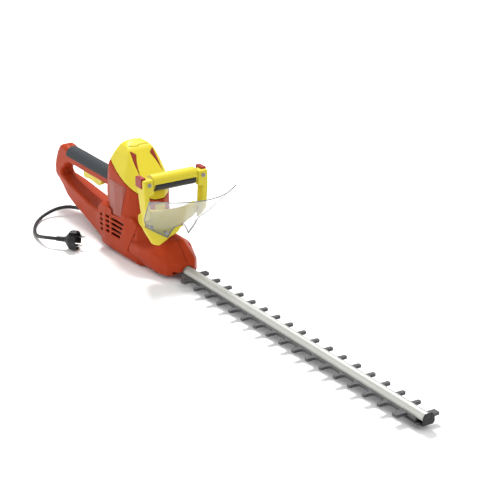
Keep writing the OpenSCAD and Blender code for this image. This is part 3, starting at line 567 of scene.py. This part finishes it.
def housing(x, y, z):
    """Both housing shells as one hollow body, without the split between them."""
    free = hump(x, y, z)
    below = [(-85, -20), (70, -20), (70, 113.5)] + [(a, b - 1.2) for a, b in SEAM[::-1]]
    closed = meet(free, poly(x, z, below), 0.8)
    low, snout, loop = lower_body(x, y, z), nose(x, y, z), ring(x, y, z)
    outer = join(join(join(closed, low, 1.5), snout, 1.0), loop, 5)
    # sloping groove between the motor housing and the nose
    line = (x - 16.7) * 0.877 - (z - 22) * 0.481
    groove = np.maximum(np.abs(line) - 1.3, slab(z, 20, 90))
    groove = np.maximum(groove, np.maximum(36 - np.abs(y), -(outer + 1.5)))
    outer = cut(outer, groove, 0.5)
    behind = np.maximum(loop, np.minimum(z - 88, -66 - x))
    cavity = np.minimum(np.minimum(free, low), np.minimum(snout, behind)) + WALL
    cavity = np.minimum(cavity, block(x, y, z, (-302, -8.5, 101), (-40, 8.5, 118)))
    d = cut(outer, cavity, 0.3)
    posts = 1e3
    wells = 1e3
    for boss in BOSSES:
        bore = np.maximum(disc(x, z, boss, 1.6), -10.2 - y)
        head = np.maximum(disc(x, z, boss, 3.6), 10.5 - y)
        posts = np.minimum(posts, disc(x, z, boss, 4))
        wells = np.minimum(wells, np.minimum(bore, head))
    d = np.minimum(d, np.maximum(posts, outer + 1.2))
    d = cut(cut(d, vents(x, y, z), 0.5), wells, 0.3)
    for opening, edge in shell_openings(x, y, z):
        d = cut(d, opening, edge)
    skin, outline = plate_field(x, y, z, -2, 0.75)
    return cut(d, np.maximum(skin, outline - 0.35), 0.2)


SHELL_STEP = 1.5
for side, name in ((1, "housing_left"), (-1, "housing_right")):
    corners = on_side(side, (-322, -1.5, -3), (154, 50, 185))
    store(name + "_shell",
          *surface(lambda x, y, z: meet(housing(x, y, z), 0.12 - side * y, 0.5), *corners, SHELL_STEP),
          "housing_red", replaces=[name])

# ---------------------------------------------------------------- hood, inlays, plates


def hood_free(x, y, z):
    """The outside of the hood before it ends at the seam."""
    d = meet(poly(x, z, HOOD_SIDE, 3), poly(x, y, HUMP_PLAN, 5), 3)
    d = meet(d, poly(y, z, BELLY, 2), 3)
    up_slope = (x - SLOPE_X) * math.sin(SLOPE_LEAN) + (z - SLOPE_Z) * math.cos(SLOPE_LEAN)
    return meet(d, poly(y, up_slope, SLOPE_FRONT, 1.5), 1.5)


def hood(x, y, z):
    """The hollow hood with its seats for the inlays and the fine line across its top."""
    free = hood_free(x, y, z)
    above = SEAM + [(70, 240), (-85, 240)]
    d = cut(meet(free, poly(x, z, above), 1.0), free + 2.5, 0.3)
    seat = np.maximum(np.maximum(poly(x, np.abs(y), INLAY) - 0.15, 120 - z), -(free + 1.3))
    d = cut(d, seat, 0.3)
    line_x = -13.5 + 2.5 * (1 - (y / 20) ** 2) * (y < 0)
    line = np.maximum(np.abs(x - line_x) - 0.8, np.abs(y) - 20)
    line = np.maximum(line, np.maximum(180 - z, -(free + 1.2)))
    return cut(d, line, 0.2)


def inlays(x, y, z):
    """The two narrow red inlays in the hood's front edges."""
    free = hood_free(x, y, z)
    d = meet(free - 0.25, -(free + 1.2), 0.2)
    return meet(meet(d, poly(x, np.abs(y), INLAY), 0.3), 120 - z, 0.2)


def plates(x, y, z):
    """The blank name plates on both sides."""
    skin, outline = plate_field(x, y, z, -0.35, 0.6)
    return meet(skin, outline, 0.35)


store("hood_shell", *surface(hood, (-82, -48, 108), (62, 48, 209), 1.1),
      "hood_yellow", replaces=["motor_hood"])
for side, name in SIDE_NAMES:
    corners = on_side(side, (-8, 11, 148), (34, 27, 205))
    store("inlay_" + name, *surface(inlays, *corners, 0.5), "inlay_red", replaces=["hood_inlays"])
    corners = on_side(side, (-49, 20, 70), (17, 46, 139))
    store("plate_" + name, *surface(plates, *corners, 0.55), "plate_red", replaces=["name_plates"])

# ---------------------------------------------------------------- rear grip and trigger


def grip(x, y, z):
    """The soft half sleeve on the rear handle."""
    r = np.hypot(y, z - GRIP_Z)
    d = meet(r - GRIP_R, slab(x, GRIP_X[0] + 0.2, GRIP_X[1] - 0.2), 2.5)
    d = meet(d, GRIP_Z - 0.8 - z, 1.2)
    return cut(d, r - GRIP_CORE - 0.25, 0.3)


def trigger(x, y, z):
    """The trigger with a hollow for the fingers along its lower edge."""
    shape = [(-215, 86), (-211, 82), (-158, 82), (-146, 88), (-144.5, 104), (-146, 107.5), (-152, 107.5),
             (-156, 101), (-213, 101), (-215, 99)]
    finger = 2.0 * np.exp(-((x + 190) / 16) ** 2)
    d = meet(poly(x, z - finger * (z < 95), shape, 1.2), np.abs(y) - 5, 1.6)
    return cut(d, disc(x, z, PIVOT, 2.05), 0.2)


store("grip_cover", *surface(grip, (-267, -18, 108), (-87, 18, 130), 0.9), "grip_rubber",
      replaces=["rear_grip"])
store("trigger_lever", *surface(trigger, (-218, -7, 79), (-142, 7, 110), 0.7), "trigger_yellow",
      body="trigger", replaces=["rear_trigger"])

# ---------------------------------------------------------------- front handle

# Front and back of the arms, half the handle's width outside and between the arms, and its top
ARM_X, HALF, INNER, TOP = (87, 115), 62, 42, 181
# Axis and radius of the cross bar
BAR_AXIS, BAR_ROUND = (100.5, 169), 13.5
# A cap fills what the first block has outside the second
CAP_OUT = ((ARM_X[0] - 1, HALF - 9, TOP - 18), (ARM_X[0] + 20, HALF + 1, TOP + 1))
CAP_IN = ((ARM_X[0] + 4, HALF - 20, TOP - 33), (ARM_X[0] + 34, HALF - 3, TOP - 5))
# Screws of the cross bar (mirrored) and of the hand shield (near side only), in y and z
BOW_SCREW, UPPER_SCREW, LOWER_SCREW = (51.5, 170), (-50, 97), (-24, 83)


def cap_zone(x, y, z):
    """The corner of an arm that its cap fills."""
    return cut(block(x, y, z, *CAP_OUT), block(x, y, z, *CAP_IN), 0.3)


def arms(x, y, z):
    """Both arms: a broad head above a slim leg that leans inward."""
    y = np.abs(y)
    plan = [(ARM_X[0], 58), (103, INNER), (116, INNER), (116, HALF), (ARM_X[0], HALF)]
    profile = [(95, 92), (99, 90), (116, 112), (ARM_X[1], 178), (ARM_X[0], 178), (ARM_X[0], 160),
               (91.5, 152)]
    front = [(46, 86), (56, 97), (HALF, 152), (HALF, TOP), (INNER, TOP), (INNER, 152.5), (51.5, 149.5)]
    d = meet(poly(x, y, plan, 2.5), poly(x, z, profile, 2.5), 3)
    return meet(d, poly(y, z, front, 2.5), 3)


def bracket(x, y, z):
    """The curved bracket over the nose and its yoke back to the motor housing, as two shapes."""
    front = [(-32, 58.5), (-14, 73), (0, 79), (10, 91), (22, 96), (HALF, 103), (HALF, 110), (INNER, 120),
             (-INNER, 120), (-HALF, 110), (-HALF, 102), (-52, 88), (-40, 60)]
    band = meet(slab(disc(x, y, (48, 0), 0), 61, 70), 86 - x, 0.8)
    yoke = np.minimum(block(x, y, z, (56, -15, 84), (111, 15, 91), 1.5),
                      block(x, y, z, (56.4, -9, 84), (60.5, 9, 112), 1))
    return meet(band, poly(y, z, front, 1.5), 2), yoke


def handle_frame(x, y, z):
    """Arms, bracket and yoke in one piece, with bores for the screws and seats for the caps."""
    band, yoke = bracket(x, y, z)
    d = join(join(arms(x, y, z), band, 3), yoke, 2)
    d = np.minimum(d, np.maximum(disc(y, z, UPPER_SCREW, 2.6), slab(x, 92, 103.2)))
    d = np.minimum(d, np.maximum(disc(y, z, LOWER_SCREW, 3.6), slab(x, 106, 112.3)))
    d = cut(d, disc(np.abs(y), z, BOW_SCREW, 2.1) + 1e3 * (x < 90), 0.2)
    d = cut(d, np.maximum(disc(y, z, UPPER_SCREW, 1.6), 90 - x), 0.2)
    d = cut(d, np.maximum(disc(y, z, LOWER_SCREW, 1.6), 100 - x), 0.2)
    d = cut(d, cap_zone(x, np.abs(y), z) - 0.2, 0.3)
    return cut(cut(d, hump(x, y, z), 0.2), nose(x, y, z), 0.2)


def cross_bar(x, y, z):
    """The hollow round bar between the arms, open in front for the switch bar."""
    r = disc(x, z, BAR_AXIS, 0)
    hollow = np.maximum(r - BAR_ROUND + 3, np.abs(y) - INNER + 3)
    d = cut(meet(r - BAR_ROUND, np.abs(y) - INNER + 0.15, 0.8), hollow, 0.3)
    return cut(d, block(x, y, z, (101.4, -INNER + 2.4, 150), (125, INNER - 2.4, 167.8), 0.5), 0.5)


def caps(x, y, z):
    """The two corner caps."""
    y = np.abs(y)
    return meet(cap_zone(x, y, z), block(x, y, z, (86.2, 53, 163), (107, 62.8, 181), 2.2), 0.6)


def switch_bar(x, y, z):
    """The front switch bar with its rib inside the cross bar."""
    r = disc(x, z, (BAR_AXIS[0] + 0.2, BAR_AXIS[1] - 1.2), 0)
    d = meet(r - BAR_ROUND - 0.7, block(x, y, z, (104.8, -39.2, 145), (125, 39.2, 167.4), 1), 1.5)
    return np.minimum(d, block(x, y, z, (102.6, -31.2, 160.8), (106, 31.2, 164.8), 0.5))


store("handle_frame", *surface(handle_frame, (53, -64, 55), (121, 64, 184), 1.15),
      "handle_yellow", replaces=["front_handle_frame"])
store("cross_bar", *surface(cross_bar, (85, -44, 153), (116, 44, 185), 0.9), "handle_yellow",
      replaces=["front_handle_bar"])
for side, name in SIDE_NAMES:
    corners = on_side(side, (84, 50, 156), (110, 65, 184))
    store("cap_" + name, *surface(caps, *corners, 0.6), "cap_red", replaces=["handle_caps"])
store("switch_lever", *surface(switch_bar, (100, -42, 151), (117, 42, 170), 0.8), "switch_black",
      body="switch_bar", replaces=["front_switch_bar"])

# ---------------------------------------------------------------- clear hand shield

SHEET_EDGE, SHEET_THICK = 82, 3.0
SHEET_COLUMNS, SHEET_ROWS = 164, 60


def shield_low(y):
    """Height of the sheet's lower edge: two tips beside a notch in the middle."""
    a = abs(y)
    if a < 20:
        return 96 - 23.5 * (a / 20) ** 2
    if a < 54:
        return 72.5 + (a - 20) * 0.6
    return 93 + (a - 54) * 1.64 if a < 68 else 116 + (a - 68) * 3.2


def shield_high(y):
    """Height of the sheet's upper edge, with a small round corner at each end."""
    a = abs(y)
    corner = 2 * (1 - math.sqrt(max(0, 1 - ((a - 80) / 2) ** 2))) if a >= 80 else 0
    return 165.5 - 0.5 * (a / SHEET_EDGE) ** 2 - corner


def shield_x(y, z):
    """Place of the sheet along the tool: upright below, leaning forward above, and bowed."""
    if z < 90:
        middle = 118.4 + (z - 72) * 0.12
    else:
        middle = 120.6 + (z - 90) * 1.18 + (z - 90) ** 2 * 0.0006
    bow = 58 + 22 * (1 - math.exp(-max(z - 93, 0) / 7))
    return middle - y * y / (2 * bow)


def shield():
    """Points and faces of the sheet. The faces of its two skins come first, in pairs."""
    skins = []
    for depth in (0.0, SHEET_THICK):
        skins += [(shield_x(y, z) + depth, y, z)
                  for y in np.linspace(-SHEET_EDGE, SHEET_EDGE, SHEET_COLUMNS + 1)
                  for z in np.linspace(shield_low(y), shield_high(y), SHEET_ROWS + 1)]
    n = SHEET_ROWS + 1
    back = (SHEET_COLUMNS + 1) * n
    faces = []
    for i in range(SHEET_COLUMNS):
        for j in range(SHEET_ROWS):
            a = i * n + j
            faces.append((a, a + 1, a + n + 1, a + n))
            faces.append((back + a, back + a + n, back + a + n + 1, back + a + 1))
    for i in range(SHEET_COLUMNS):
        low = i * n
        high = low + SHEET_ROWS
        faces.append((low, low + n, back + low + n, back + low))
        faces.append((high, back + high, back + high + n, high + n))
    for j in range(SHEET_ROWS):
        a = SHEET_COLUMNS * n + j
        faces.append((j, back + j, back + j + 1, j + 1))
        faces.append((a, a + 1, back + a + 1, back + a))
    return skins, faces


sheet = store("clear_shield", *shield(), "shield_clear", replaces=["hand_shield"])
sheet.data.materials.append(RIM_FINISH)
# Faces are counted as if all were skins, so the edges of the sheet fall past its last column
for face in sheet.data.polygons:
    column, row = divmod(face.index // 2, SHEET_ROWS)
    at_side = column < 2 or column >= SHEET_COLUMNS - 2
    at_edge = row in (0, SHEET_ROWS - 1)
    face.material_index = 1 if at_side or at_edge else 0

# ---------------------------------------------------------------- blade

TOOTH_PITCH, PITCHES, FIRST_TOOTH = 36, 17, 180
TIP_X = FIRST_TOOTH + PITCHES * TOOTH_PITCH + 9
BAR_R = 9.4


def guide_bar():
    """The hollow half-round bar, slightly more pointed at its ridge than a true half circle."""
    a = np.linspace(0, math.pi, 41)
    outer = [(BAR_R * math.cos(t), BAR_R * (0.78 * math.sin(t) + 0.22 * (1 - abs(math.cos(t)) ** 1.4)))
             for t in a]
    inner = [(7.4 * math.cos(t), max(2.0, 7.2 * math.sin(t))) for t in a]
    n = len(a)
    points = [(x, y, BAR_Z + z) for x in (76.0, TIP_X - 3.6) for y, z in outer + inner]
    faces = []
    for k in range(n):
        m = (k + 1) % n
        faces.append((k, m, 2 * n + m, 2 * n + k))
        faces.append((n + k, 3 * n + k, 3 * n + m, n + m))
        faces.append((k, n + k, n + m, m))
        faces.append((2 * n + k, 2 * n + m, 3 * n + m, 3 * n + k))
    return points, faces


def guide_root(x, y, z):
    """The bar's flat foot inside the nose, with a bolt hole on each side."""
    foot = block(x, y, z, (76, -22, BAR_Z), (104, 22, BAR_Z + 2), 0.3)
    foot = meet(foot, 9.5 - np.hypot(y, z - BAR_Z), 0.1)
    return cut(foot, disc(x, np.abs(y), (98, 19), 1.75), 0.1)


bar = store("guide_rail", *guide_bar(), "guide_silver", replaces=["guide_bar"])
bar.data.set_sharp_from_angle(angle=math.radians(35))
store("guide_root", *surface(guide_root, (74, -24, 16.8), (106, 24, 21.2), 0.5), "guide_silver",
      replaces=["guide_bar"])


def ground_knife(node, name, body):
    """A copy of a knife with a small bevel along its upper and lower rims."""
    source = NODES[node]
    mesh = source.data.copy()
    mesh.name = name
    knife = bpy.data.objects.new(name, mesh)
    knife.matrix_world = source.matrix_world.copy()
    scene.collection.objects.link(knife)
    work = bmesh.new()
    work.from_mesh(mesh)
    bmesh.ops.dissolve_limit(work, angle_limit=math.radians(2), verts=work.verts, edges=work.edges)
    rims = [e for e in work.edges if len(e.link_faces) == 2 and e.calc_face_angle(0) > math.radians(60)
            and abs(e.verts[0].co.z - e.verts[1].co.z) < 1e-5]
    bmesh.ops.bevel(work, geom=rims, offset=0.00035, segments=2, affect="EDGES", clamp_overlap=True)
    work.to_mesh(mesh)
    work.free()
    mesh.materials.clear()
    mesh.materials.append(FINISH["knife_steel"])
    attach(knife, body)
    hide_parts(node)


ground_knife("upper_knife", "knife_upper", "upper_blade")
ground_knife("lower_knife", "knife_lower", "lower_blade")


def tip(x, y, z):
    """The tip guard: a head over the bar's end, a tongue inside the bar and a skid under the knives."""
    head = poly(y, z, across([(7, 11), (10, 14), (10, 22), (6, 28.2)]), 1.5)
    head = meet(head, slab(x, TIP_X - 3.5, TIP_X), 1)
    skid = [(-46, -11), (-42, -13.2), (-12, -13.4), (-2, -9.5), (-2, 9.5), (-14, 9), (-40, 2)]
    skid = meet(poly(x, y, [(TIP_X + a, b) for a, b in skid], 1), slab(z, 9.6, 12.6), 0.8)
    tongue = np.maximum(disc(y, z, (0, BAR_Z), 7), BAR_Z + 2.2 - z)
    tongue = np.maximum(tongue, slab(x, TIP_X - 22, TIP_X - 2))
    d = np.minimum(join(head, skid, 1), tongue)
    d = cut(d, block(x, y, z, (TIP_X - 60, -30, 12.7), (TIP_X - 3.2, 30, BAR_Z)), 0.3)
    screw = disc(y, z, (0, BAR_Z + 5), 0)
    bore = np.minimum(np.maximum(screw - 3.3, TIP_X - 1.6 - x), np.maximum(screw - 1.65, TIP_X - 16 - x))
    return cut(d, bore, 0.2)


store("tip_cover", *surface(tip, (TIP_X - 49, -16, 8), (TIP_X + 2, 16, 30), 0.5), "guard_black",
      replaces=["tip_guard"])

# ---------------------------------------------------------------- gland and plug


def facing(at, way):
    """A placement whose local x points along way."""
    x = Vector(way).normalized()
    y = Vector((0, 0, 1)).cross(x).normalized()
    return Matrix.Translation(at) @ Matrix((x, y, x.cross(y))).transposed().to_4x4()


def gland_sleeve():
    """The tapered sleeve where the cord leaves, with five grooves, as a list of (place, radius)."""
    sleeve = [(0, 3.3), (0, 6.8), (0.6, 7.0)]
    for k in range(5):
        at = 2 + k * (GLAND_REACH - 4) / 5
        r = 7 - 2.4 * at / GLAND_REACH
        sleeve += [(at, r), (at + 0.5, r - 0.8), (at + 1.3, r - 0.8), (at + 1.8, r - 0.15)]
    return sleeve + [(GLAND_REACH - 0.6, 4.6), (GLAND_REACH, 4.2), (GLAND_REACH, 3.3)]


gland = store("gland_sleeve", *loft(turned(gland_sleeve()), False), "plug_black", replaces=["cord_gland"],
              place=facing(GLAND, GLAND_WAY))
gland.data.set_sharp_from_angle(angle=math.radians(40))

# Where the plug lies, how it is turned and rolled, where its pins start, and how far they stand off centre
PLUG_AT, PLUG_TURN, PLUG_ROLL = (-110.7, -114.8, 18), math.radians(42), math.radians(38)
PIN_FACE, PIN_OFF = 32, 9.5
plug_way = (math.cos(PLUG_TURN), math.sin(PLUG_TURN), 0)
plug_place = facing(PLUG_AT, plug_way) @ Matrix.Rotation(PLUG_ROLL, 4, "X")


def plug(x, y, z):
    """The plug: a ribbed neck, a bell and a round head with a sunken face and two earth notches."""
    r = np.hypot(y, z)
    outline = [(-8, -6), (40.8, -6), (40.8, 15.2), (39, 17.3), (29, 17.4), (26, 16), (23, 12), (18, 6.5),
               (16, 4.9), (0.4, 4.3), (-8, 4.3)]
    body = poly(x, r, outline, 0.8)
    groove = (np.abs((x % 3.2) - 1.6) - 0.6) * 0.8
    ribs = np.clip(-groove, 0, 0.45) * (slab(x, 1.2, 16) < 0)
    d = meet(body + ribs, 0.1 - x, 0.6)
    grip_line = np.maximum(np.abs(r - 14) - 0.5, x - 26.2 + (r - 14) * 0.6)
    d = cut(d, np.maximum(grip_line, -(body + 0.6)), 0.2)
    d = cut(d, np.maximum(r - 14.8, PIN_FACE - x), 0.5)
    for s in (-1, 1):
        d = cut(d, block(x, y, z, (22, -4.2, s * 16.4 - 4), (44, 4.2, s * 16.4 + 4), 0.8), 0.5)
        d = cut(d, np.maximum(disc(y, z, (s * PIN_OFF, 0), 2.45), PIN_FACE - 3 - x), 0.1)
    return d


def plug_pin(side):
    """One round pin with a slightly thinner root and a rounded end."""
    outline = [(-2.4, 0.01), (-2.4, 2.3), (6.5, 2.3), (6.6, 2.4), (17.4, 2.4), (18.4, 2.0), (19, 0.9),
               (19, 0.01)]
    rings = turned([(PIN_FACE + at, radius) for at, radius in outline], 24)
    return loft([ring_points + np.array([0, side * PIN_OFF, 0]) for ring_points in rings])


plug_shell = store("plug_shell", *surface(plug, (-2, -20, -20), (43, 20, 20), 0.6), "plug_black",
                   replaces=["plug_body"], place=plug_place)
for side, name in SIDE_NAMES:
    pin = store("pin_" + name, *plug_pin(side), "pin_nickel", replaces=["plug_pins"], place=plug_place)
    pin.data.set_sharp_from_angle(angle=math.radians(50))

# ---------------------------------------------------------------- floor and light

floor = bpy.data.objects.new("floor", bpy.data.meshes.new("floor"))
floor.data.from_pydata([(-30, -30, 0), (30, -30, 0), (30, 30, 0), (-30, 30, 0)], [], [(0, 1, 2, 3)])
paper = bpy.data.materials.new("paper")
paper.use_nodes = True
for name, value in (("Base Color", (0.92, 0.92, 0.92, 1)), ("Roughness", 0.9), ("Specular IOR Level", 0.0)):
    socket(paper.node_tree.nodes["Principled BSDF"], name, value)
floor.data.materials.append(paper)
scene.collection.objects.link(floor)

world = bpy.data.worlds.new("studio")
world.use_nodes = True
socket(world.node_tree.nodes["Background"], "Color", (1, 1, 1, 1))
socket(world.node_tree.nodes["Background"], "Strength", 0.62)
scene.world = world


def lamp(name, at, target, power, size):
    """A soft square light that points from one place at another."""
    data = bpy.data.lights.new(name, "AREA")
    data.energy = power
    data.size = size
    obj = bpy.data.objects.new(name, data)
    way = Vector(target) - Vector(at)
    obj.matrix_world = Matrix.Translation(at) @ way.to_track_quat("-Z", "Y").to_matrix().to_4x4()
    scene.collection.objects.link(obj)


lamp("key", (-1.1, 0.6, 2.6), (0.3, 0, 0), 100, 0.7)
lamp("near_side", (-1.6, -2.2, 1.3), (0, 0, 0.1), 22, 1.6)
lamp("front", (2.6, -0.4, 2.0), (0.1, 0, 0.1), 30, 1.5)
scene.view_settings.view_transform = "Standard"
